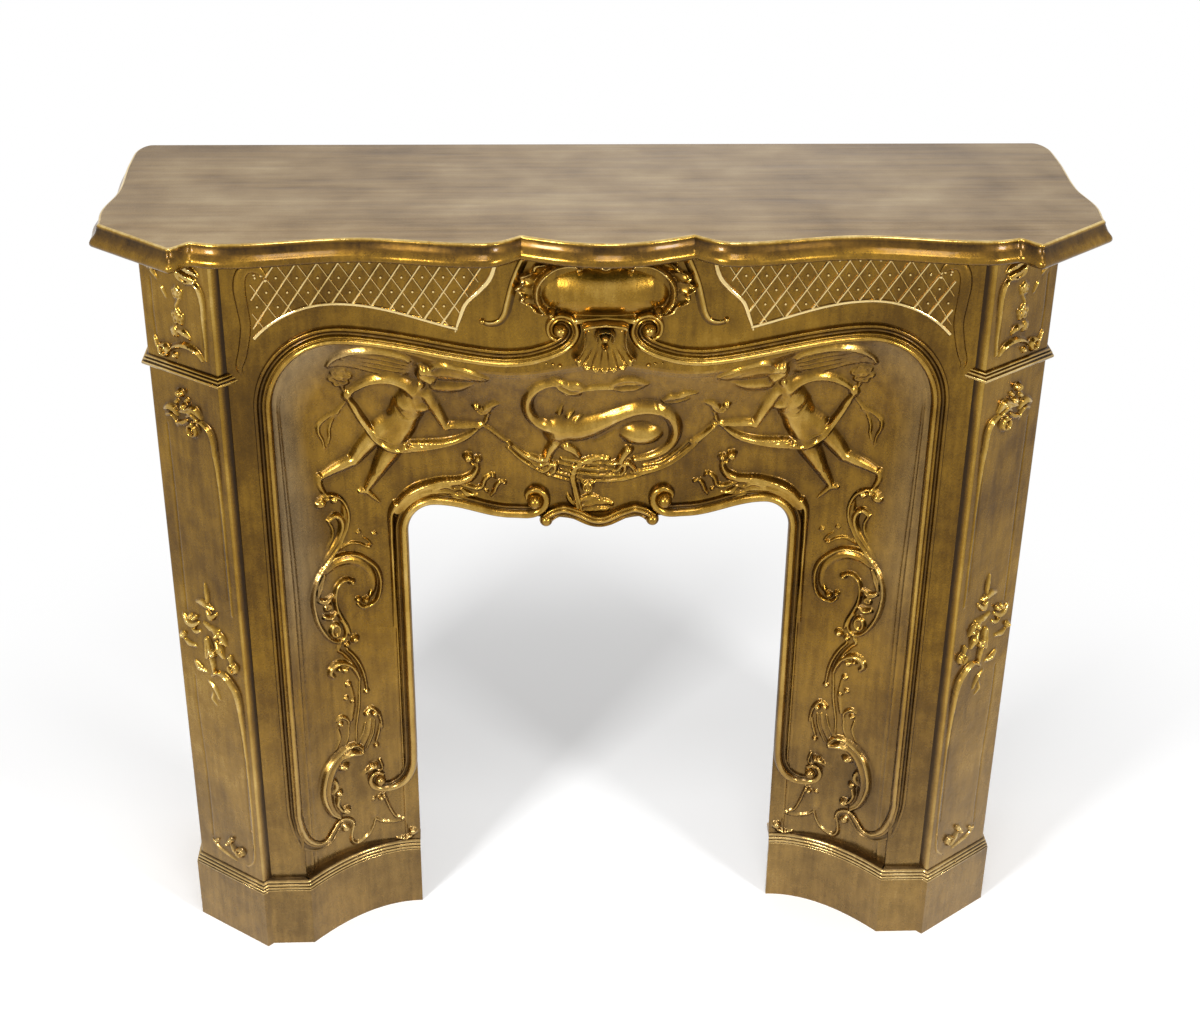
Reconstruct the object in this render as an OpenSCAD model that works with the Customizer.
// Cast iron fireplace surround with a serpentine shelf, canted pilasters and a coved arch panel.
// Millimetres. X runs from left to right, Y runs back to the wall and Z runs up from the floor.
// The origin is on the floor under the middle of the bounding box, and the front faces -Y.
// In plan and in upright outlines, depths are counted back from the front face of the frame plate.

/* [Overall] */
// Height of the top of the shelf above the floor
mantel_h = 1150; // [1130:1:1190]
// Depth from the wall to the foremost point of the shelf
mantel_d = 411; // [395:1:440]
// Thickness of the cast plates
plate_t = 8; // [7:0.5:9]

/* [Pilasters] */
// Distance from the middle to the nose of a pilaster
nose_x = 500; // [497:0.5:512]
// Distance that the nose stands in front of the frame plate
nose_proud = 11; // [10:0.5:13]
// Width of the canted face
pilaster_w = 127; // [118:1:132]
// Angle between the canted face and the wall
cant = 37; // [34:0.5:40]
// Distance from the top of the shelf down to the underside of the neck moulding
neck_drop = 223; // [210:1:245]
// Height of the neck moulding
neck_h = 17; // [14:1:20]
// Reach of the neck moulding beyond the shaft
neck_reach = 9; // [6:0.5:11]
// Width of the flange that laps behind the frame plate
lap_w = 26; // [24:1:27]

/* [Plinths] */
// Height of the plinths under their moulding
plinth_h = 99; // [90:1:105]
// Height of the moulding on top of the plinths
plinth_cap_h = 16; // [14:1:18]
// Distance that a plinth stands outside the shaft above it
plinth_reach = 8; // [7:0.5:9]
// Distance that the front plinth stands in front of the frame plate
front_plinth_proud = 14; // [13:0.5:16]
// Distance from the middle to the corner where the front plinth starts to curve back
cove_x = 430; // [420:1:436]

/* [Frame and arch] */
// Half of the width between the upright edges of the arch
arch_x = 437; // [430:1:441]
// Distance from the top of the shelf down to where the arch starts to round over
arch_spring_drop = 260; // [255:1:280]
// Distance from the top of the shelf down to the crests of the arch
crest_drop = 163; // [158:1:175]
// Distance from the middle to a crest of the arch
crest_x = 345; // [335:1:355]
// Distance from the top of the shelf down to the dips beside the cartouche
dip_drop = 209; // [202:1:214]
// Distance from the middle to a dip
dip_x = 120; // [112:1:126]
// Distance from the top of the shelf down to the middle of the arch, behind the shell
arch_mid_drop = 195; // [190:1:200]
// Width of the moulding round the arch
arch_band = 22; // [18:1:26]
// Height of the moulding round the arch above the frame plate
arch_proud = 10; // [7:0.5:12]
// Distance from the middle to the inner ends of the arch moulding
arch_end_x = 62; // [56:1:68]

/* [Firebox opening] */
// Half of the width of the opening
opening_x = 270; // [255:1:278]
// Height where the sides of the opening start to round over
opening_spring_z = 660; // [640:1:665]
// Height of the opening beside its corners
opening_crest_z = 703; // [695:1:710]
// Distance from the middle to the crests of the opening
opening_crest_x = 232; // [222:1:238]
// Height of the opening at its dips
opening_dip_z = 681; // [677:1:688]
// Distance from the middle to the dips of the opening
opening_dip_x = 118; // [110:1:124]
// Height of the opening at the middle of its apron
apron_z = 667; // [662:1:672]
// Distance that the edge of the opening lies behind the frame plate
lip_depth = 88; // [78:1:94]
// Width of the flat lip round the opening
lip_w = 18; // [17:1:22]
// Width of the rolled moulding on the lip
roll_w = 16; // [12:1:17]
// Height of the rolled moulding above the lip
roll_proud = 10; // [7:0.5:12]
// Height where the rolled moulding ends in its scrolls
scroll_z = 232; // [200:1:260]
// Radius of the bosses in the scrolls of the opening
scroll_r = 11; // [8:0.5:12]

/* [Shelf] */
// Distance that the top of the shelf reaches beyond a pilaster at the side
shelf_side = 28.5; // [24:0.5:34]
// Depth of the rim of the shelf
rim_h = 30; // [26:1:34]
// Thickness of the wall of the rim
rim_t = 8; // [6:0.5:10]
// Reach of the roll of the rim beyond the edge of the top
roll_reach = 14; // [11:0.5:17]
// Distance of the middle crest of the edge in front of the frame plate
bow_f = 80; // [76:1:84]
// Distance of the shoulders beside the cusps in front of the frame plate
shoulder_f = 77; // [72:1:80]
// Distance of the cusps in front of the frame plate
cusp_f = 50; // [46:1:56]
// Distance of the hollows in front of the frame plate
hollow_f = 56; // [50:1:60]
// Distance of the outer swells in front of the frame plate
swell_f = 76; // [72:1:79]
// Distance of the notches in front of the frame plate
notch_f = 67; // [62:1:70]
// Distance of the horns over the pilaster noses in front of the frame plate
horn_f = 88; // [85:1:92]
// Distance of the side tips of the shelf in front of the frame plate
tip_f = 5; // [0:1:12]
// Distance from the middle to a cusp
cusp_x = 107; // [100:1:114]
// Distance from the middle to a shoulder
shoulder_x = 156; // [148:1:165]
// Distance from the middle to a hollow
hollow_x = 312; // [300:1:325]

/* [Ornament] */
// Distance from the top of the shelf down to the middle of the oval boss
boss_drop = 86; // [84:1:90]
// Half of the width of the oval boss
boss_rx = 72; // [66:1:76]
// Half of the height of the oval boss
boss_rz = 33; // [28:1:35]
// Height of the oval boss above its plate
boss_proud = 15; // [10:1:18]
// Thickness of the plate behind the boss
cartouche_t = 6; // [4:0.5:8]
// Distance from the top of the shelf down to the flat joint between the cartouche and the shell
shell_top_drop = 132; // [130:1:134]
// Distance from the top of the shelf down to the foot of the shell
shell_foot_drop = 208; // [204:1:212]
// Number of ribs on the shell
shell_ribs = 7; // [5:1:9]
// Height of the shell above the frame plate
shell_proud = 20; // [14:1:24]
// Width of one diamond of the trellis
diamond_w = 28; // [24:1:34]
// Height of one diamond of the trellis
diamond_h = 44; // [38:1:52]
// Width of a trellis bar
trellis_bar = 4; // [3:0.5:6]
// Height of the trellis above the frame plate
trellis_proud = 3.5; // [2.5:0.5:5]
// Width of the gap between the arch and the trellis
trellis_gap = 53; // [48:1:56]

/* [Fixings] */
// Diameter of the bolts
bolt_d = 8; // [6:1:8]
// Clearance round a bolt
bolt_gap = 0.4; // [0.2:0.1:0.8]
// Diameter of the holes in the wall lugs
lug_hole_d = 11; // [9:0.5:12]
// Thickness of the brackets and lugs
bracket_t = 6; // [5:0.5:7]
// Length of a leg of a bracket or lug
bracket_leg = 40; // [34:1:44]
// Height of the lower pair of wall lugs
low_lug_z = 250; // [200:1:300]
// Distance from the top of the shelf down to the upper pair of wall lugs
high_lug_drop = 290; // [270:1:330]

/* [Hidden] */

gold = [0.62, 0.47, 0.16];
bronze = [0.47, 0.38, 0.27];
raw_iron = [0.25, 0.24, 0.23];

// The horn's roll is the foremost point, so the wall and the frame plate are placed from it.
horn_stretch = 1.15;
wall_y = mantel_d / 2;
wall_depth = mantel_d - horn_f - horn_stretch * roll_reach;
frame_y = wall_y - wall_depth;
underside_z = mantel_h - plate_t;
base_z = plinth_h + plinth_cap_h;
neck_z = mantel_h - neck_drop;
arch_spring_z = mantel_h - arch_spring_drop;
crest_z = mantel_h - crest_drop;
dip_z = mantel_h - dip_drop;
arch_mid_z = mantel_h - arch_mid_drop;
boss_z = mantel_h - boss_drop;
shell_top_z = mantel_h - shell_top_drop;
shell_foot_z = mantel_h - shell_foot_drop;
frame_x = nose_x - nose_proud;
lap_x = frame_x - lap_w;
panel_lap = lap_x - arch_x - 2;
blind = 1.5;

// Bolt heads and the depth of a tapped hole
head_h = 5.5;
head_d = 1.625 * bolt_d;
tap_depth = plate_t - blind;

// ---- curves -------------------------------------------------------------------------------

function unit(v) = v / norm(v);
function outward(v) = [v[1], -v[0]];
function backwards(list) = [for (i = [len(list) - 1:-1:0]) list[i]];

// Mitred normal of a plan or upright path at one of its points
function normal_at(path, i) =
    let (
        last = len(path) - 1,
        p = max(i, 1),
        q = min(i, last - 1),
        a = outward(unit(path[p] - path[p - 1])),
        b = outward(unit(path[q + 1] - path[q]))
    )
    (a + b) / (1 + a * b);

// The path moved sideways by d, outwards where d is positive
function shifted(path, d) = [for (i = [0:len(path) - 1]) path[i] + d * normal_at(path, i)];

// Half a cosine wave from a at x0 to b at x1
function wave(x, x0, a, x1, b) = a + (b - a) * (1 - cos(180 * (x - x0) / (x1 - x0))) / 2;

// A right half, listed from its outer end to the middle, joined to its mirror image
function both_halves(half) =
    concat(half, [for (i = [len(half) - 2:-1:0]) [-half[i][0], half[i][1]]]);

corner_steps = 8;
top_steps = 16;
fan_h = 100;
leg_fan_z = opening_spring_z - fan_h;

// Half the arch from the foot of the frame to the middle: upright, round corner, serpentine top
function arch_top(x) = x > dip_x
    ? wave(x, crest_x, crest_z, dip_x, dip_z)
    : wave(x, dip_x, dip_z, 0, arch_mid_z);
function arch_half(foot_z, end_x) = concat(
    [[arch_x, foot_z]],
    corner_part(arch_x, arch_spring_z, crest_x, crest_z),
    [for (i = [1:top_steps])
        let (x = crest_x + (end_x - crest_x) * i / top_steps) [x, arch_top(x)]]);

// Half the opening, with as many points as the arch
apron_x = opening_dip_x / 2;
function opening_top(x) = x > opening_dip_x
    ? wave(x, opening_crest_x, opening_crest_z, opening_dip_x, opening_dip_z)
    : x > apron_x
        ? wave(x, opening_dip_x, opening_dip_z, apron_x, opening_dip_z - 3)
        : wave(x, apron_x, opening_dip_z - 3, 0, apron_z);
function opening_half(foot_z) = concat(
    [[opening_x, foot_z]],
    corner_part(opening_x, opening_spring_z, opening_crest_x, opening_crest_z),
    [for (i = [1:top_steps])
        let (x = opening_crest_x * (1 - i / top_steps)) [x, opening_top(x)]]);

// Three points up the straight part, then a quarter of an ellipse
function corner_part(x, spring_z, top_x, top_z) = concat(
    [for (i = [0:2]) [x, leg_fan_z + (spring_z - leg_fan_z) * i / 2]],
    [for (i = [1:corner_steps])
        let (a = 90 * i / corner_steps)
        [top_x + (x - top_x) * cos(a), spring_z + (top_z - spring_z) * sin(a)]]);

// ---- lofted and swept solids --------------------------------------------------------------

// Twice the area of a flat outline, positive where it runs counter-clockwise
function twice_area(q, i = 0) =
    i == len(q) ? 0 : cross(q[i], q[(i + 1) % len(q)]) + twice_area(q, i + 1);

// Whether the corner k of what is left of an outline can be cut off as one triangle
function is_ear(q, left, k, turn) =
    let (
        n = len(left),
        ear = [left[(k + n - 1) % n], left[k], left[(k + 1) % n]],
        a = q[ear[0]],
        b = q[ear[1]],
        c = q[ear[2]]
    )
    turn * cross(b - a, c - b) > 1e-6
        && len([for (j = left)
            if (j != ear[0] && j != ear[1] && j != ear[2]
                && turn * cross(b - a, q[j] - a) > -1e-6
                && turn * cross(c - b, q[j] - b) > -1e-6
                && turn * cross(a - c, q[j] - c) > -1e-6) j]) == 0;
function first_ear(q, left, turn, k = 0) =
    k >= len(left) - 1 || is_ear(q, left, k, turn) ? k : first_ear(q, left, turn, k + 1);

// Triangles that fill a flat outline, in its own order of corners
function ears(q, left, turn) =
    len(left) == 3
        ? [left]
        : let (n = len(left), k = first_ear(q, left, turn))
            concat([[left[(k + n - 1) % n], left[k], left[(k + 1) % n]]],
                ears(q, [for (j = [0:n - 1]) if (j != k) left[j]], turn));
function filled(q) = ears(q, [for (i = [0:len(q) - 1]) i], sign(twice_area(q)));
function offset_ids(faces, d) = [for (f = faces) [f[0] + d, f[1] + d, f[2] + d]];

// A closed skin through rings that all have as many points; outline is a flat picture of a ring
module skin(rings, outline) {
    n = len(rings);
    m = len(rings[0]);
    walls = [for (i = [0:n - 2], j = [0:m - 1])
        let (a = i * m + j, b = i * m + (j + 1) % m)
        each [[a, b, b + m], [a, b + m, a + m]]];
    cap = filled(outline);
    polyhedron([for (ring = rings) each ring],
        concat(walls, [for (f = cap) backwards(f)], offset_ids(cap, (n - 1) * m)));
}

// A section of [offset, height] carried along a plan path
module plan_moulding(path, section) {
    lines = [for (s = section) shifted(path, s[0])];
    skin([for (i = [0:len(path) - 1])
        [for (j = [0:len(section) - 1]) [lines[j][i][0], lines[j][i][1], section[j][1]]]],
        section);
}

// A section of [offset, distance in front of depth] carried along an upright path
module upright_moulding(path, section, depth) {
    lines = [for (s = section) shifted(path, s[0])];
    skin([for (i = [0:len(path) - 1])
        [for (j = [0:len(section) - 1]) [lines[j][i][0], depth - section[j][1], lines[j][i][1]]]],
        section);
}

// An upright plate from depth y to y + t
module upright(y, t) {
    translate([0, y + t, 0])
        rotate([90, 0, 0])
            linear_extrude(t)
                children();
}

module at_frame() {
    translate([0, frame_y, 0])
        children();
}

module on_left() {
    mirror([1, 0, 0])
        children();
}

// Local axes on a canted face: X along the face from the nose, Y into it
module on_canted_face() {
    translate([nose_x, -nose_proud, 0])
        rotate([0, 0, cant])
            children();
}

// A low dome with a flat back at depth 0; radius is a function of the angle
module dome(radius, proud, rings = 6, around = 40) {
    rim = [for (i = [0:around - 1]) radius(-360 * i / around)];
    skin([for (k = [0:rings])
        let (share = cos(90 * k / (rings + 0.3)), y = -proud * sin(90 * k / (rings + 0.3)))
        [for (r = rim) [r[0] * share, y, r[1] * share]]],
        rim);
}

// ---- pilasters ----------------------------------------------------------------------------

corner_a = [nose_x + pilaster_w * cos(cant), pilaster_w * sin(cant) - nose_proud];
leg_path = [[frame_x, 0], [nose_x, -nose_proud], corner_a, [corner_a[0], wall_depth]];

// Plan of a hollow leg set out by reach, whose return meets a front plane at depth front
function leg_section(reach, front) =
    let (
        outer = shifted(leg_path, reach),
        inner = shifted(leg_path, reach - plate_t),
        meet_x = outer[1][0] + outer[1][1] - front,
        lap = front + plate_t,
        back = front + 2 * plate_t,
        bend = inner[2] + (back - inner[2][1]) / sin(cant) * [cos(cant), sin(cant)],
        lap_end = meet_x - lap_w
    )
    [[lap_end, lap], [meet_x, lap], [meet_x, front], outer[1], outer[2], outer[3],
        inner[3], inner[2], bend, [lap_end, back]];

plinth_meet_x = leg_section(plinth_reach, -front_plinth_proud)[2][0];

module leg_shell(reach, front, low_z, high_z) {
    translate([0, 0, low_z])
        linear_extrude(high_z - low_z)
            polygon(leg_section(reach, front));
}

// Ring of a moulding that wraps the leg, at one height
function wrap_ring(reach, front, start_x, back, z) =
    let (
        outer = shifted(leg_path, reach),
        inner = shifted(leg_path, -plate_t),
        meet = [outer[1][0] + outer[1][1] - front, front],
        bend = inner[2] + (back - inner[2][1]) / sin(cant) * [cos(cant), sin(cant)],
        ring = [[start_x, back], [start_x, front], if (meet[0] < start_x - 0.5) meet,
            outer[1], outer[2], outer[3], inner[3], inner[2], bend]
    )
    [for (q = backwards(ring)) [q[0], q[1], z]];

module wrapped(rings) {
    skin(rings, [for (q = rings[0]) [q[0], q[1]]]);
}

// Raised border with hollowed corners, as on the pilaster faces
module hollow_cornered(w, h, r) {
    difference() {
        square([w, h]);
        for (x = [0, w], z = [0, h])
            translate([x, z])
                circle(r, $fn = 32);
    }
}

module raised_border(x, z, w, h, r, line) {
    upright(-border_proud, border_proud)
        translate([x, z])
            difference() {
                hollow_cornered(w, h, r);
                translate([line, line])
                    hollow_cornered(w - 2 * line, h - 2 * line, r);
            }
}

border_proud = 3;
border_line = 4;
border_inset = 16;
border_r = 14;
border_w = pilaster_w - 2 * border_inset;
mid_gap_z = (neck_z + base_z) / 2;

module shaft() {
    leg_shell(0, 0, base_z, neck_z);
    on_canted_face() {
        raised_border(border_inset, mid_gap_z + 45, border_w, neck_z - mid_gap_z - 80,
            border_r, border_line);
        raised_border(border_inset, base_z + 30, border_w, mid_gap_z - base_z - 75,
            border_r, border_line);
    }
}

module upper_block() {
    leg_shell(0, 0, neck_z + neck_h, underside_z);
    on_canted_face()
        raised_border(border_inset, neck_z + neck_h + 12, border_w,
            underside_z - neck_z - neck_h - 60, border_r, border_line);
}

// Neck moulding: a fillet, a hollow and a rolled lip; each pair is [share of reach, share of height]
neck_profile = [[0.2, 0], [0.35, 0.08], [0.4, 0.3], [0.75, 0.42], [1, 0.55], [1, 0.72],
    [0.75, 0.86], [0.35, 0.9], [0.2, 1]];

module neck_moulding() {
    wrapped([for (s = neck_profile)
        wrap_ring(neck_reach * s[0], 0, frame_x, 2 * plate_t, neck_z + neck_h * s[1])]);
}

// Plinth moulding: three reeds that step back from the plinth to the shaft
plinth_profile = [[1, 0], [1, 0.08], [0.84, 0.12], [0.84, 0.34], [0.6, 0.42], [0.6, 0.62],
    [0.3, 0.7], [0.3, 0.92], [0.12, 1]];
function cap_front(share) = -front_plinth_proud + (1 - share) * plinth_reach;

module plinth_moulding() {
    wrapped([for (s = plinth_profile)
        wrap_ring(plinth_reach * s[0], cap_front(s[0]), plinth_meet_x, 2 * plate_t,
            plinth_h + plinth_cap_h * s[1])]);
}

module plinth() {
    leg_shell(plinth_reach, -front_plinth_proud, 0, plinth_h);
}

// ---- front plinths between the pilasters and the opening ----------------------------------

cove_steps = 7;
plinth_lip = lip_depth - 8;
cove_path = concat(
    [for (i = [0:cove_steps])
        let (w = 1 - i / cove_steps)
        [cove_x - (cove_x - opening_x) * w,
            -front_plinth_proud + (plinth_lip + front_plinth_proud) * (1 - pow(1 - w, 2))]],
    [[plinth_meet_x, -front_plinth_proud]]);

module cove_plinth() {
    linear_extrude(plinth_h)
        polygon(concat(cove_path, backwards(shifted(cove_path, -plate_t))));
}

// The cap is a moulding in front and a ledge behind, which carries the frame and the panel
cap_ledge = front_plinth_proud + 2 * plate_t + 2;
cap_section = concat(
    [for (s = plinth_profile) [(s[0] - 1) * plinth_reach, plinth_h + plinth_cap_h * s[1]]],
    [[-cap_ledge, base_z], [-cap_ledge, base_z - plate_t], [-plate_t, base_z - plate_t],
        [-plate_t, plinth_h]]);

module cove_moulding() {
    plan_moulding(cove_path, cap_section);
}

// ---- frame, panel and mouldings -----------------------------------------------------------

module frame_plate_outline() {
    difference() {
        translate([-frame_x, base_z])
            square([2 * frame_x, underside_z - base_z]);
        polygon(concat([[arch_x, base_z - 1]], both_halves(arch_half(base_z, 0)),
            [[-arch_x, base_z - 1]]));
    }
}

frame_bolt_x = lap_x + lap_w / 2;
foot_bolt_up = 85;
neck_bolt_down = 167;
top_bolt_down = 90;
low_bolt_z = base_z + foot_bolt_up;
high_bolt_z = neck_z - neck_bolt_down;
mid_bolt_z = (low_bolt_z + high_bolt_z) / 2;
frame_bolt_z = [low_bolt_z, mid_bolt_z, high_bolt_z, mantel_h - top_bolt_down];
clamp_count = 3;
bracket_x = 250;
bracket_w = 30;
bracket_bolt = 22;

module frame_plate() {
    at_frame()
        difference() {
            upright(0, plate_t)
                frame_plate_outline();
            for (x = [-frame_bolt_x, frame_bolt_x], z = frame_bolt_z)
                bolt_hole([x, blind, z], tap_depth + 1, 0);
            for (x = [-bracket_x, bracket_x])
                bolt_hole([x, blind, underside_z - bracket_bolt], tap_depth + 1, 0);
        }
}

// A hole of the bolt's size, widened by gap, running back along +Y
module bolt_hole(at, depth, gap) {
    translate(at)
        rotate([-90, 0, 0])
            cylinder(h = depth, d = bolt_d + 2 * gap, $fn = 24);
}

arch_section = [[0, 0], [arch_band, 0], [arch_band, arch_proud * 0.3],
    [arch_band * 0.86, arch_proud * 0.5], [arch_band * 0.72, arch_proud * 0.3],
    [arch_band * 0.58, arch_proud * 0.45], [arch_band * 0.4, arch_proud * 0.9],
    [arch_band * 0.2, arch_proud], [0, arch_proud * 0.75], [-2, arch_proud * 0.35]];

module arch_moulding() {
    at_frame()
        upright_moulding(arch_half(base_z, arch_end_x), arch_section, 0);
}

// Depths across the coved panel, as [share of the way from the arch to the lip, depth]
cove_shares = [0, 0.12, 0.26, 0.42, 0.6, 0.8, 1];
function cove_depth(share) =
    plate_t + (lip_depth - plate_t) * (1 - pow(1 - share, 2));

arch_line = both_halves(arch_half(base_z, 0));
opening_line = both_halves(opening_half(base_z));

lip_line = shifted(opening_line, lip_w);

module coved_plate() {
    flange = shifted(arch_line, panel_lap);
    lip = lip_line;
    front_view = concat([[-0.3, plate_t]], [for (s = cove_shares) [s, cove_depth(s)]],
        [[1.2, lip_depth]]);
    at_frame()
        skin([for (i = [0:len(arch_line) - 1])
            let (
                a = arch_line[i],
                b = lip[i],
                c = opening_line[i],
                front = concat(
                    [[flange[i][0], plate_t, flange[i][1]]],
                    [for (s = cove_shares)
                        [a[0] + (b[0] - a[0]) * s, cove_depth(s), a[1] + (b[1] - a[1]) * s]],
                    [[c[0], lip_depth, c[1]]])
            )
            concat(front, [for (q = backwards(front)) [q[0], q[1] + plate_t, q[2]]])],
            concat(front_view, [for (q = backwards(front_view)) [q[0], q[1] + plate_t]]));
}

// Main masses of the cast relief. Each stroke lists [step along the arch from its right foot,
// share of the way in to the lip, half width, height above the cove].
side_relief = [
    // outer wing
    [[9.14, 0.14, 5, 5], [10.68, 0.12, 13, 8], [12.24, 0.11, 16, 8], [14.25, 0.14, 9, 6]],
    // inner wing
    [[16.1, 0.11, 11, 8], [17.66, 0.08, 17, 8], [19.57, 0.08, 7, 4]],
    // neck and head
    [[14.15, 0.3, 9, 11], [15.6, 0.16, 12, 13]],
    // torso
    [[14.19, 0.31, 15, 10], [12.41, 0.48, 21, 12], [10.49, 0.61, 19, 12], [9.37, 0.66, 17, 11]],
    // arm that holds the bud
    [[8.74, 0.34, 5, 7], [11.13, 0.29, 7, 9], [13.51, 0.27, 9, 11]],
    // arm that holds the sash
    [[14.82, 0.35, 9, 10], [14.97, 0.54, 6, 9], [18, 0.46, 4, 7]],
    // far leg
    [[9.05, 0.6, 14, 11], [5.04, 0.61, 10, 10], [2.63, 0.35, 6, 7], [2.45, 0.38, 4, 4]],
    // near leg
    [[9.85, 0.68, 16, 11], [6.55, 0.77, 10, 9], [3.89, 0.75, 6, 7], [4.04, 0.84, 4, 4]],
    // sash and its loose end
    [[8.52, 0.36, 4, 8], [8.48, 0.52, 6, 12], [8.85, 0.67, 8, 13],
        [11.69, 0.71, 8, 13], [14.78, 0.64, 6, 10], [18.04, 0.46, 4, 7]],
    [[7.15, 0.39, 4, 4], [5.43, 0.36, 7, 6], [3.45, 0.4, 4, 3]],
    // leaf over the corner of the opening
    [[6.45, 0.97, 6, 8], [9.61, 0.96, 9, 11], [12.12, 0.94, 11, 11],
        [14.21, 0.9, 9, 9], [16.04, 0.8, 7, 8], [16.34, 0.71, 8, 9]],
    // upper leg scroll
    [[2.31, 0.33, 7, 8], [2.51, 0.49, 6, 8], [2.32, 0.56, 6, 7],
        [1.79, 0.47, 7, 8], [1.49, 0.34, 6, 6]],
    [[2.22, 0.46, 7, 8], [2.1, 0.5, 6, 6], [1.75, 0.41, 7, 4]],
    [[1.46, 0.33, 5, 6], [1.7, 0.54, 6, 8], [1.59, 0.81, 6, 8],
        [0.98, 0.8, 6, 8], [0.98, 0.64, 8, 9]],
    [[1.39, 0.29, 5, 6], [1.12, 0.21, 6, 8], [0.89, 0.32, 6, 7], [0.85, 0.46, 6, 7]],
    [[1.26, 0.57, 6, 9], [1.05, 0.41, 6, 8], [0.87, 0.52, 5, 6]],
    // stalk and curl under it
    [[0.81, 0.49, 8, 6], [0.71, 0.6, 8, 6], [0.64, 0.65, 6, 5]],
    [[0.69, 0.58, 5, 6], [0.75, 0.5, 6, 8], [0.76, 0.36, 6, 8], [0.73, 0.35, 5, 6]],
    [[0.54, 0.63, 7, 8], [0.54, 0.72, 7, 9], [0.48, 0.79, 5, 4]],
    [[0.53, 0.53, 9, 3], [0.42, 0.58, 8, 3]],
    // lower C-scroll with its leaf and ball
    [[0.4, 0.57, 8, 9], [0.41, 0.4, 9, 10], [0.3, 0.22, 9, 9], [0.17, 0.34, 8, 9]],
    [[0.37, 0.41, 9, 10], [0.26, 0.32, 7, 9], [0.19, 0.38, 6, 8]],
    [[0.31, 0.58, 9, 4], [0.2, 0.64, 17, 5], [0.12, 0.66, 9, 3]],
    [[0.2, 0.69, 8, 8], [0.14, 0.81, 6, 6], [0.09, 0.93, 5, 4]],
    // hook at the foot of the arch
    [[0.14, 0.07, 5, 6], [0.1, 0.11, 8, 8], [0.08, 0.22, 8, 8],
        [0.12, 0.33, 7, 7], [0.12, 0.44, 6, 6]],
    [[0.1, 0.45, 5, 5], [0.04, 0.44, 5, 5], [0.06, 0.62, 5, 4]]];
middle_relief = [
    // neck and body of the beast
    [[30.11, 0.12, 7, 7], [31.85, 0.19, 8, 9], [32, 0.35, 9, 9], [30.54, 0.45, 15, 11]],
    [[30.37, 0.48, 20, 12], [28.19, 0.45, 20, 13], [25.64, 0.38, 14, 12],
        [23.44, 0.32, 12, 12], [21.43, 0.47, 10, 10], [22.08, 0.62, 8, 9],
        [23.87, 0.68, 6, 7]],
    // haunch and foreleg
    [[24.63, 0.52, 15, 13], [22.78, 0.5, 15, 13]],
    [[30.48, 0.56, 10, 11], [31.49, 0.68, 8, 9], [32.86, 0.66, 6, 7]],
    // garland, its stem and the leaf over the beast
    [[34.15, 0.59, 5, 6], [31.07, 0.75, 8, 8], [26.4, 0.76, 8, 8],
        [22.11, 0.72, 8, 8], [18.67, 0.47, 5, 6]],
    [[29.21, 0.96, 8, 7], [29.52, 0.81, 8, 8], [26.58, 0.66, 5, 7]],
    [[29.48, 0.15, 9, 8], [26.49, 0.19, 4, 5], [24.44, 0.14, 7, 5]]];

// Point at the step t of a line
function along(line, t) =
    let (i = min(floor(t), len(line) - 2)) line[i] + (line[i + 1] - line[i]) * (t - i);

// Depth of the cove at the upright point q, on the ruling from a on the arch to b on the lip
function ruling_depth(a, b, q) =
    cove_depth(max(0, min(1, (q - a) * (b - a) / ((b - a) * (b - a)))));

// One stroke of relief: a flat-topped ridge, sunk part of the way into the plate
module relief_stroke(stroke) {
    a = [for (p = stroke) along(arch_line, p[0])];
    b = [for (p = stroke) along(lip_line, p[0])];
    spine = [for (i = [0:len(stroke) - 1]) a[i] + (b[i] - a[i]) * stroke[i][1]];
    section = [[-1, 0], [1, 0], [0.55, 1], [-0.55, 1]];
    skin([for (i = [0:len(stroke) - 1])
        [for (c = section)
            let (q = spine[i] + c[0] * stroke[i][2] * normal_at(spine, i))
            [q[0], ruling_depth(a[i], b[i], q) + (c[1] > 0 ? -stroke[i][3] : 0.6 * plate_t), q[1]]]],
        section);
}

module side_strokes() {
    for (stroke = side_relief)
        relief_stroke(stroke);
}

module inner_panel() {
    coved_plate();
    at_frame() {
        side_strokes();
        on_left()
            side_strokes();
        for (stroke = middle_relief)
            relief_stroke(stroke);
    }
}

roll_section = [[0, 0], [roll_w, 0], [roll_w, roll_proud * 0.3], [roll_w * 0.85, roll_proud * 0.7],
    [roll_w * 0.55, roll_proud], [roll_w * 0.2, roll_proud * 0.92], [-1.5, roll_proud * 0.5],
    [-1.5, roll_proud * 0.2]];

module opening_moulding() {
    at_frame() {
        upright_moulding(both_halves(opening_half(scroll_z)), roll_section, lip_depth);
        for (x = [-opening_x - roll_w / 2, opening_x + roll_w / 2])
            boss_at(x, scroll_z);
        for (x = [-opening_dip_x * 0.73, opening_dip_x * 0.73])
            boss_at(x, opening_top(abs(x)) + roll_w / 2 - 4);
    }
}

// A round scroll end on the lip
module boss_at(x, z) {
    translate([x, lip_depth - roll_proud - 2, z])
        rotate([-90, 0, 0])
            cylinder(h = roll_proud + 2, r1 = scroll_r * 0.6, r2 = scroll_r, $fn = 24);
}

// ---- ornament on the frame ----------------------------------------------------------------

plate_rx = boss_rx + 40;
plate_rz = boss_rz + 12;
function oval(rx, rz) = function (a) [rx * cos(a), rz * sin(a)];

// The ruffled edge of the cartouche, cut flat at the foot where the shell joins it
function ruffle(a) = 1 + 0.05 * cos(12 * a) * abs(cos(a));

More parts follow.
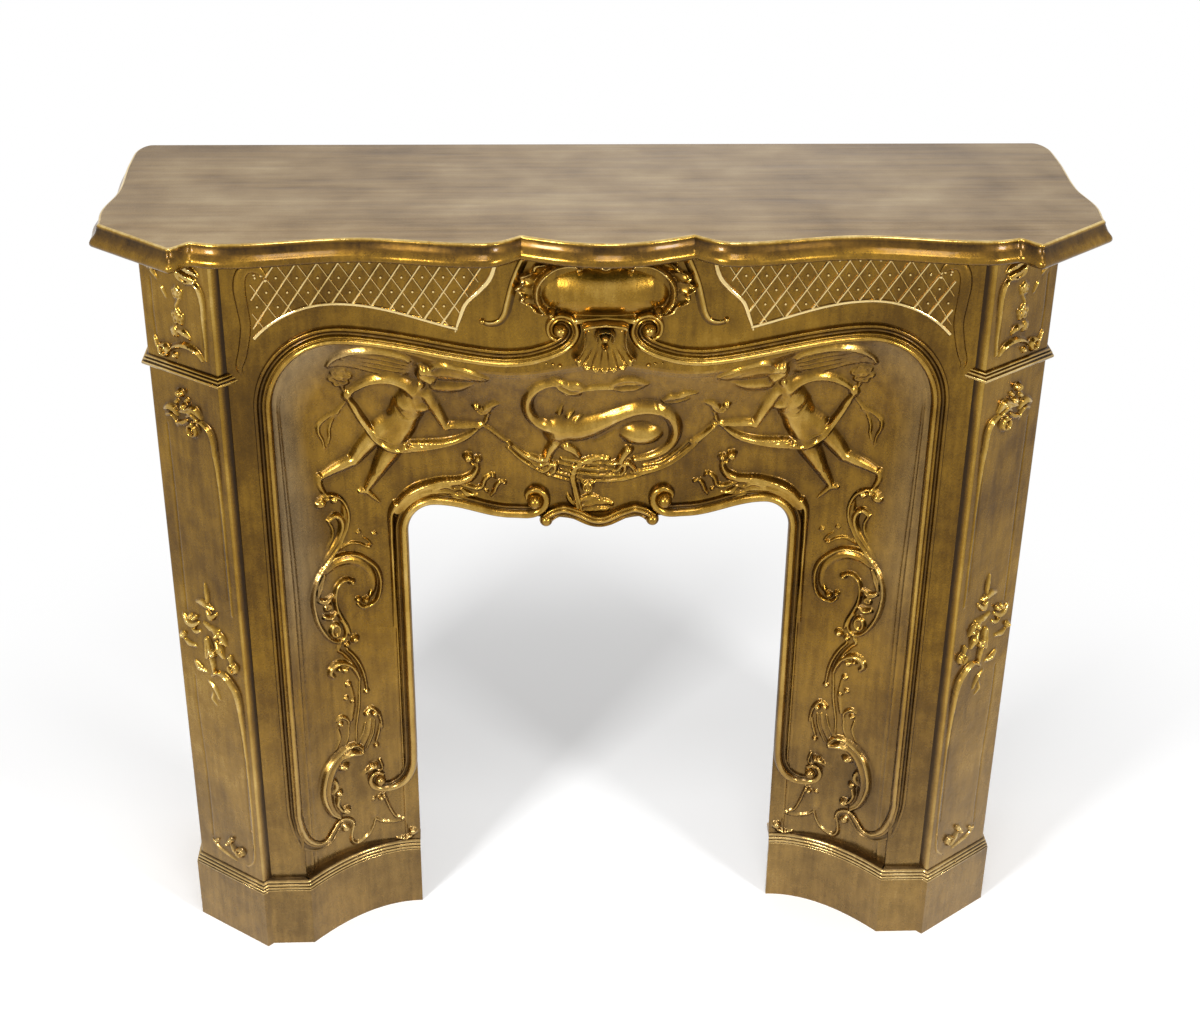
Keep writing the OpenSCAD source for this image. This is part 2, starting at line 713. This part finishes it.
module cartouche() {
    at_frame() {
        difference() {
            upright(-cartouche_t, cartouche_t)
                translate([0, boss_z])
                    polygon([for (a = [0:5:355])
                        [plate_rx * cos(a) * ruffle(a), plate_rz * sin(a)]]);
            translate([-plate_rx, -2 * cartouche_t, shell_top_z - 2 * plate_rz])
                cube([2 * plate_rx, 4 * cartouche_t, 2 * plate_rz]);
        }
        translate([0, -cartouche_t, boss_z])
            dome(oval(boss_rx, boss_rz), boss_proud);
    }
}

// A fan of ribs, widest in the middle, on a flat back against the frame
shell_half_w = 34;
shell_mid_z = (shell_top_z + shell_foot_z) / 2;
shell_half_h = (shell_top_z - shell_foot_z) / 2;
function shell_edge(a) =
    let (lobe = 1 + 0.09 * abs(cos(shell_ribs * (a + 90) / 2)) * (1 - sin(a)) / 2)
    [shell_half_w * cos(a) * lobe, shell_half_h * sin(a) * (sin(a) < 0 ? lobe : 1)];

module scallop_shell() {
    at_frame()
        translate([0, 0, shell_mid_z])
            dome(function (a) shell_edge(a), shell_proud, 6, 56);
}

// Outline of the trellis: parallel to the arch below, upright outside and S-shaped inside
trellis_out_x = arch_x + 14;
trellis_in_x = dip_x + 70;
trellis_top_in_x = dip_x + 24;
trellis_top_z = mantel_h - rim_h - 8;
function trellis_foot(x) = x > crest_x
    ? arch_spring_z + (crest_z - arch_spring_z + trellis_gap)
        * sqrt(max(0, 1 - pow((x - crest_x) / (arch_x - crest_x + trellis_gap), 2)))
    : arch_top(x) + trellis_gap;
trellis_outline = concat(
    [for (i = [0:20])
        let (x = trellis_out_x + (trellis_in_x - trellis_out_x) * i / 20) [x, trellis_foot(x)]],
    [for (i = [1:6])
        let (z = trellis_foot(trellis_in_x) + (trellis_top_z - trellis_foot(trellis_in_x)) * i / 6)
        [wave(z, trellis_foot(trellis_in_x), trellis_in_x, trellis_top_z, trellis_top_in_x), z]],
    [[trellis_out_x, trellis_top_z]]);

module diamonds() {
    for (i = [-1:ceil((trellis_out_x - trellis_top_in_x) / diamond_w) + 1],
            j = [-1:ceil(2 * (trellis_top_z - crest_z) / diamond_h) + 4])
        translate([trellis_top_in_x + (i + (j % 2) / 2) * diamond_w,
                trellis_top_z - (j - 1) * diamond_h / 2])
            polygon([[diamond_w / 2 - trellis_bar * 0.6, 0], [0, diamond_h / 2 - trellis_bar],
                [trellis_bar * 0.6 - diamond_w / 2, 0], [0, trellis_bar - diamond_h / 2]]);
}

module trellis() {
    at_frame()
        upright(-trellis_proud, trellis_proud)
            difference() {
                polygon(trellis_outline);
                intersection() {
                    diamonds();
                    polygon(shifted(trellis_outline, trellis_bar * 0.8));
                }
            }
}

// ---- shelf --------------------------------------------------------------------------------

tip_x = corner_a[0] + shelf_side;
notch_x = nose_x + 8;
horn_x = nose_x + 34;
swell_x = nose_x - 30;
tip_stretch = 0.457;
nib = 4;
side_hollow = 5;
side_clip = 18;
clip_depth = 40;
nib_at = 47;
side_hollow_at = 125;
side_swell_at = 240;

// Stations of the right half from the middle to the wall, each [x, depth, outward x, outward depth]
shelf_half = concat(
    [for (i = [0:5])
        let (x = cusp_x * i / 6) [x, -cusp_f - (bow_f - cusp_f) * cos(90 * x / cusp_x), 0, -1]],
    [for (i = [0:5])
        let (s = i / 6)
        [cusp_x + (shoulder_x - cusp_x) * s, -cusp_f - (shoulder_f - cusp_f) * sin(90 * s), 0, -1]],
    [for (i = [0:7])
        let (x = shoulder_x + (hollow_x - shoulder_x) * i / 8)
        [x, -wave(x, shoulder_x, shoulder_f, hollow_x, hollow_f), 0, -1]],
    [for (i = [0:7])
        let (x = hollow_x + (swell_x - hollow_x) * i / 8)
        [x, -wave(x, hollow_x, hollow_f, swell_x, swell_f), 0, -1]],
    [for (i = [0:4])
        let (s = i / 5)
        [swell_x + (notch_x - swell_x) * s, -notch_f - (swell_f - notch_f) * cos(90 * s), 0, -1]],
    [[notch_x, -notch_f, 0, -1], [(notch_x + horn_x) / 2, -(notch_f + horn_f) / 2 - 1, 0, -1.05]],
    [for (i = [0:4])
        let (s = i / 5)
        [horn_x + (tip_x - horn_x) * s, -horn_f + (horn_f - tip_f) * s, s,
            -horn_stretch + (horn_stretch - tip_stretch) * s]],
    [[tip_x, -tip_f, 1, -tip_stretch]],
    [for (i = [1:3])
        let (d = nib_at * i / 3) [tip_x + wave(d, 0, 0, nib_at, nib), d - tip_f, 1, 0]],
    [for (i = [1:4])
        let (d = nib_at + (side_hollow_at - nib_at) * i / 4)
        [tip_x + wave(d, nib_at, nib, side_hollow_at, -side_hollow), d - tip_f, 1, 0]],
    [for (i = [1:4])
        let (d = side_hollow_at + (side_swell_at - side_hollow_at) * i / 4)
        [tip_x + wave(d, side_hollow_at, -side_hollow, side_swell_at, 0), d - tip_f, 1, 0]],
    [for (i = [0:4])
        let (s = i / 4)
        [tip_x - side_clip * (1 - sqrt(1 - s * s * 0.98)), wall_depth - clip_depth * (1 - s), 1, 0]]);
shelf_line = concat(
    [for (i = [len(shelf_half) - 1:-1:1])
        [-shelf_half[i][0], shelf_half[i][1], -shelf_half[i][2], shelf_half[i][3]]],
    shelf_half);

// Rim from the underside of the plate, down inside, round the roll and up to the top's edge
rim_profile = concat(
    [[-rim_t, -plate_t], [-rim_t, -rim_h], [roll_reach * 0.1, -rim_h], [roll_reach * 0.2, -rim_h * 0.87],
        [roll_reach * 0.5, -rim_h * 0.83]],
    [for (a = [-60:30:90])
        [roll_reach * (0.55 + 0.45 * cos(a)), -rim_h * (0.43 - 0.35 * sin(a))]],
    [[roll_reach * 0.28, -rim_h * 0.04], [0, 0]]);

module shelf() {
    n = len(shelf_line);
    m = len(rim_profile);
    points = [for (s = shelf_line, p = rim_profile)
        [s[0] + p[0] * s[2], s[1] + p[0] * s[3], mantel_h + p[1]]];
    walls = [for (i = [0:n - 2], j = [0:m - 2])
        let (a = i * m + j)
        each [[a, a + 1, a + 1 + m], [a, a + 1 + m, a + m]]];
    end = filled(rim_profile);
    top = filled([for (s = shelf_line) [s[0], s[1]]]);
    underside = filled([for (s = shelf_line) [s[0] - rim_t * s[2], s[1] - rim_t * s[3]]]);
    back = [m - 1, 0, (n - 1) * m, n * m - 1];
    at_frame()
        polyhedron(points, concat(walls, [for (f = end) backwards(f)], offset_ids(end, (n - 1) * m),
            [for (f = top) [for (i = backwards(f)) i * m + m - 1]],
            [for (f = underside) [for (i = f) i * m]], [back]));
}

// ---- hidden fixings at the back -----------------------------------------------------------

// A hexagon-headed bolt along -Y from its seat at the origin, with its head behind the seat
module bolt(length) {
    rotate([90, 0, 0])
        cylinder(h = length, d = bolt_d, $fn = 24);
    rotate([-90, 0, 0])
        cylinder(h = head_h, d = head_d, $fn = 6);
}

inside_x = corner_a[0] - plate_t;
lug_bolt_in = 26;
lug_hole_in = 22;
lug_zs = [low_lug_z, mantel_h - high_lug_drop];

// One lug: a leg along the inside of the pilaster's side and a leg against the wall
module wall_lug(z) {
    translate([0, 0, z - bracket_w / 2])
        difference() {
            union() {
                translate([inside_x - bracket_t, wall_depth - bracket_leg, 0])
                    cube([bracket_t, bracket_leg, bracket_w]);
                translate([inside_x - bracket_leg, wall_depth - bracket_t, 0])
                    cube([bracket_leg, bracket_t, bracket_w]);
            }
            translate([inside_x - lug_hole_in, wall_depth - bracket_t - 1, bracket_w / 2])
                rotate([-90, 0, 0])
                    cylinder(h = bracket_t + 2, d = lug_hole_d, $fn = 32);
            translate([inside_x - bracket_t - 1, wall_depth - lug_bolt_in, bracket_w / 2])
                rotate([0, 90, 0])
                    cylinder(h = bracket_t + 2, d = bolt_d + 2 * bolt_gap, $fn = 24);
        }
}

module wall_lugs() {
    at_frame()
        for (z = lug_zs)
            wall_lug(z);
}

// Tapped holes for the lugs in the side of a leg
module lug_taps(low_z, high_z) {
    for (z = concat(lug_zs, [tie_z]))
        if (z > low_z && z < high_z)
            translate([inside_x - 1, wall_depth - lug_bolt_in, z])
                rotate([0, 90, 0])
                    cylinder(h = tap_depth + 1, d = bolt_d, $fn = 24);
}

tie_h = 40;
tie_z = underside_z - tie_h / 2;

// Bar across the back under the shelf, with ears along the sides of the upper blocks
module rear_tie_bar() {
    at_frame()
        difference() {
            union() {
                translate([-inside_x, wall_depth - bracket_t, underside_z - tie_h])
                    cube([2 * inside_x, bracket_t, tie_h]);
                for (x = [-inside_x, inside_x - bracket_t])
                    translate([x, wall_depth - bracket_leg, underside_z - tie_h])
                        cube([bracket_t, bracket_leg, tie_h]);
            }
            translate([-inside_x - 1, wall_depth - lug_bolt_in, tie_z])
                rotate([0, 90, 0])
                    cylinder(h = 2 * inside_x + 2, d = bolt_d + 2 * bolt_gap, $fn = 24);
        }
}

// Angle brackets that hold the shelf to the back of the frame plate
module shelf_bracket() {
    translate([-bracket_w / 2, plate_t, underside_z - bracket_leg])
        difference() {
            union() {
                cube([bracket_w, bracket_t, bracket_leg]);
                translate([0, 0, bracket_leg - bracket_t])
                    cube([bracket_w, bracket_leg, bracket_t]);
            }
            bolt_hole([bracket_w / 2, -1, bracket_leg - bracket_bolt], bracket_t + 2, bolt_gap);
            translate([bracket_w / 2, bracket_bolt, bracket_leg - bracket_t - 1])
                cylinder(h = bracket_t + 2, d = bolt_d + 2 * bolt_gap, $fn = 24);
        }
}

module shelf_brackets() {
    at_frame()
        for (x = [-bracket_x, bracket_x])
            translate([x, 0, 0])
                shelf_bracket();
}

// Flat bars that clamp the panel's flange beside the pilaster's lap flange
clamp_in = 10;
clamp_w = 26;
module clamp_bar(z) {
    translate([arch_x + clamp_in, 2 * plate_t, z - clamp_w / 2])
        difference() {
            cube([frame_x - arch_x - clamp_in - 1, bracket_t, clamp_w]);
            bolt_hole([frame_bolt_x - arch_x - clamp_in, -1, clamp_w / 2], bracket_t + 2, bolt_gap);
        }
}

module clamp_bars() {
    at_frame()
        for (i = [0:clamp_count - 1]) {
            clamp_bar(frame_bolt_z[i]);
            on_left()
                clamp_bar(frame_bolt_z[i]);
        }
}

// Clearance holes for the frame bolts through the lap flange of a leg
module lap_holes(low_z, high_z) {
    for (z = frame_bolt_z)
        if (z > low_z && z < high_z)
            bolt_hole([frame_bolt_x, plate_t - 1, z], plate_t + 2, bolt_gap);
}

module leg_fixings(low_z, high_z) {
    lap_holes(low_z, high_z);
    lug_taps(low_z, high_z);
}

module frame_bolts() {
    at_frame()
        for (i = [0:len(frame_bolt_z) - 1], x = [-frame_bolt_x, frame_bolt_x])
            let (seat = 2 * plate_t + (i < clamp_count ? bracket_t : 0))
            translate([x, seat, frame_bolt_z[i]])
                bolt(seat - blind - 0.5);
}

module shelf_bolts() {
    at_frame()
        for (x = [-bracket_x, bracket_x]) {
            translate([x, plate_t + bracket_t, underside_z - bracket_bolt])
                bolt(bracket_t + tap_depth - 0.5);
            translate([x, plate_t + bracket_bolt, underside_z - bracket_t])
                rotate([-90, 0, 0])
                    bolt(bracket_t);
        }
}

module lug_bolt(z) {
    translate([inside_x - bracket_t, wall_depth - lug_bolt_in, z])
        rotate([0, 0, 90])
            bolt(bracket_t + tap_depth - 0.5);
}

module lug_bolts() {
    at_frame()
        for (z = concat(lug_zs, [tie_z])) {
            lug_bolt(z);
            on_left()
                lug_bolt(z);
        }
}

// ---- placed nodes -------------------------------------------------------------------------

module right_leg_part(low_z, high_z) {
    at_frame()
        difference() {
            children();
            leg_fixings(low_z, high_z);
        }
}

module place_upper_block() {
    color(gold)
        right_leg_part(neck_z, mantel_h)
            upper_block();
}

module place_shaft() {
    color(gold)
        right_leg_part(base_z, neck_z)
            shaft();
}

module place_neck_moulding() {
    color(gold)
        at_frame()
            neck_moulding();
}

module place_plinth_moulding() {
    color(gold)
        at_frame()
            plinth_moulding();
}

module place_plinth() {
    color(gold)
        at_frame()
            plinth();
}

module place_cove_moulding() {
    color(gold)
        at_frame()
            cove_moulding();
}

module place_cove_plinth() {
    color(gold)
        at_frame()
            cove_plinth();
}

color(bronze) shelf();
color(gold) frame_plate();  // front_frame
on_left() color(gold) arch_moulding();  // left_arch_moulding
color(gold) arch_moulding();  // right_arch_moulding
color(gold) inner_panel();
color(gold) opening_moulding();
color(gold) cartouche();
color(gold) scallop_shell();
on_left() color(gold) trellis();  // left_trellis
color(gold) trellis();  // right_trellis
on_left() place_upper_block();  // left_upper_block
place_upper_block();  // right_upper_block
on_left() place_neck_moulding();  // left_neck_moulding
place_neck_moulding();  // right_neck_moulding
on_left() place_shaft();  // left_shaft
place_shaft();  // right_shaft
on_left() place_plinth_moulding();  // left_plinth_moulding
place_plinth_moulding();  // right_plinth_moulding
on_left() place_plinth();  // left_plinth
place_plinth();  // right_plinth
on_left() place_cove_moulding();  // left_cove_moulding
place_cove_moulding();  // right_cove_moulding
on_left() place_cove_plinth();  // left_cove_plinth
place_cove_plinth();  // right_cove_plinth
color(raw_iron) rear_tie_bar();
color(raw_iron) shelf_brackets();
color(raw_iron) clamp_bars();
on_left() color(raw_iron) wall_lugs();  // left_wall_lugs
color(raw_iron) wall_lugs();  // right_wall_lugs
color(raw_iron) frame_bolts();
color(raw_iron) shelf_bolts();
color(raw_iron) lug_bolts();
